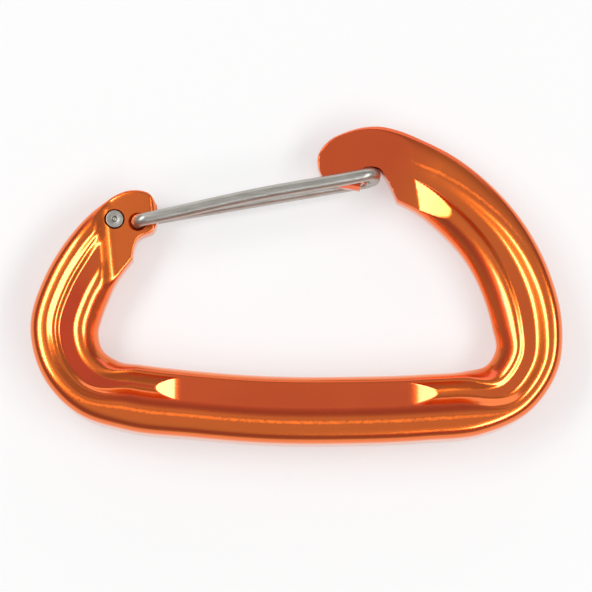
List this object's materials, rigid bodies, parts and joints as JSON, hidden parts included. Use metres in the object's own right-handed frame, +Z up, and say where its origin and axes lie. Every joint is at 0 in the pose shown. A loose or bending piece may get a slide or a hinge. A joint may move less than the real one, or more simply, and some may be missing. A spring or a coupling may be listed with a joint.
{
  "type": "wire gate carabiner",
  "caption": "Forged aluminium D-shaped carabiner with a grooved I-beam body, a hooked nose and a sprung wire gate that opens inwards.",
  "frame": {"origin": "under the middle of the outline, on the plane the carabiner lies on", "axes": "+X along the spine towards the nose end, +Y from the spine towards the gate, +Z up through the thickness"},
  "size_m": [0.0924, 0.056, 0.0098],
  "materials": {
    "orange_anodised": "bright orange anodised forging",
    "wire_steel": "drawn stainless spring wire"
  },
  "bodies": {
    "frame": {"body": "orange_anodised"},
    "gate_front": {"gate_front_leg": "wire_steel"},
    "gate_rear": {"gate_rear_leg": "wire_steel"}
  },
  "joints": [
    {"name": "gate_open", "type": "hinge", "parent": "frame", "child": "gate_front", "pos_m": [-0.02768, 0.01088, 0.0049], "axis": [0, 0, -1], "range_deg": [0, 31], "stiffness_Nm_per_rad": 0.4, "springref_deg": -18.91},
    {"name": "gate_flex", "type": "hinge", "parent": "gate_front", "child": "gate_rear", "pos_m": [0.01362, 0.01923, 0.0049], "axis": [0, 0, -1], "range_deg": [-2.8, 0]}
  ],
  "couplings": [
    {"joint": "gate_flex", "follows": "gate_open", "ratio": -0.087}
  ]
}
